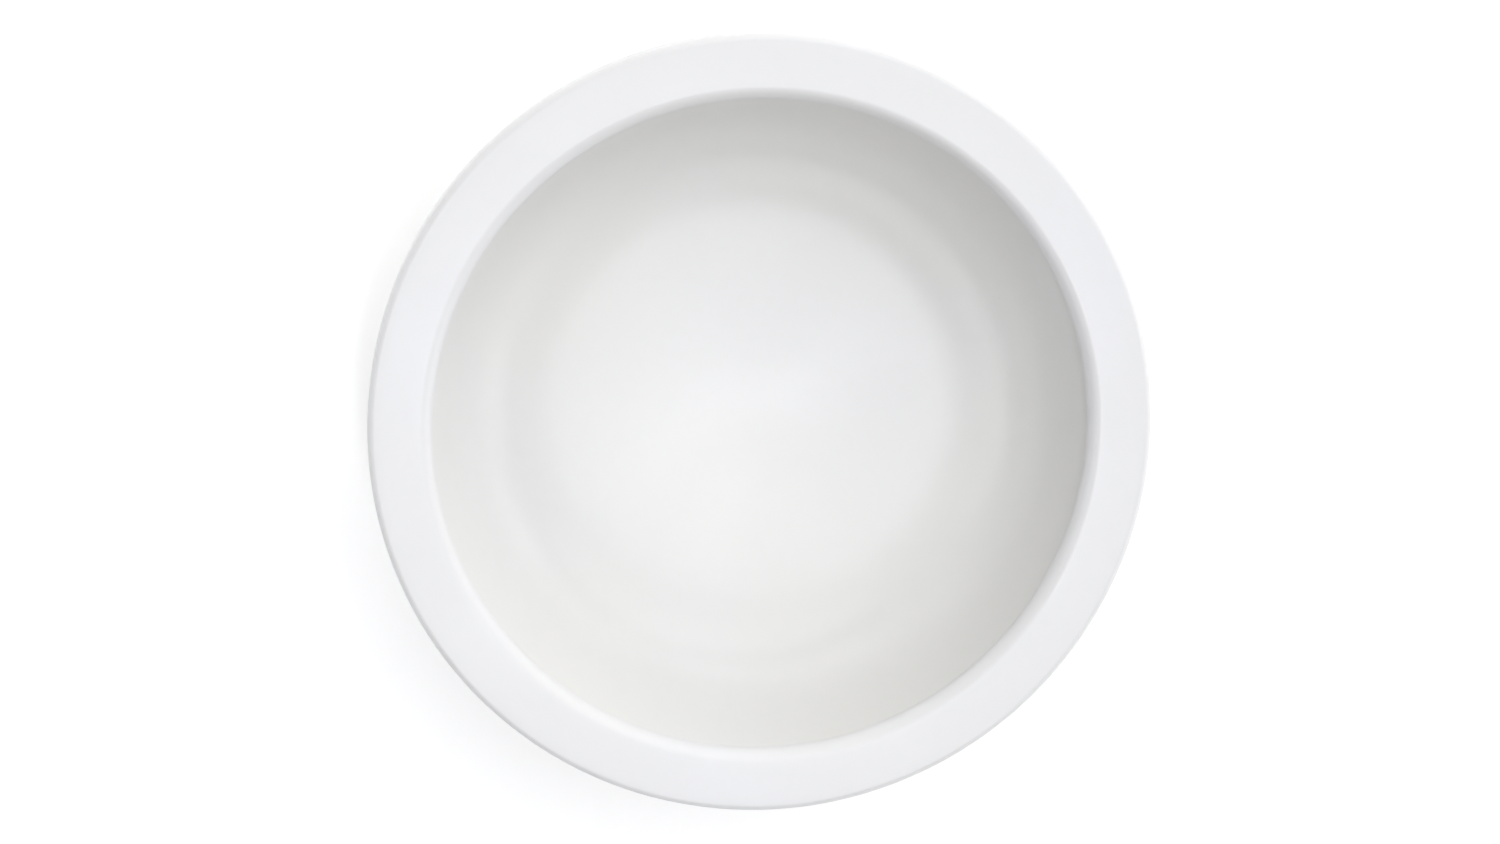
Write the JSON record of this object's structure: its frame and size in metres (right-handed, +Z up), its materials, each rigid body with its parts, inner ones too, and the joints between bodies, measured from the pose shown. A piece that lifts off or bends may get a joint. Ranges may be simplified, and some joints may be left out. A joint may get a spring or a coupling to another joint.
{
  "type": "bedpan",
  "caption": "Round ward pan with a dished floor, a steep wall and a broad flat rim with a rounded inner lip, standing on a non-slip ring.",
  "frame": {"origin": "on the axis of the pan, at the surface it stands on", "axes": "+Z up along the axis of the pan, out of its mouth; the pan looks the same from every side, so +X and +Y are any two horizontal directions"},
  "size_m": [0.3, 0.3, 0.072],
  "materials": {
    "bowl_plastic": "glossy white moulding with a very fine orange peel",
    "rim_plastic": "glossy white moulding, slightly cooler than the bowl",
    "seal_rubber": "translucent grey elastomer, satin",
    "foot_rubber": "light grey elastomer, satin"
  },
  "bodies": {
    "root": {"bowl": "bowl_plastic", "seat_ring": "rim_plastic", "rim_seal": "seal_rubber", "foot_ring": "foot_rubber"}
  },
  "joints": []
}
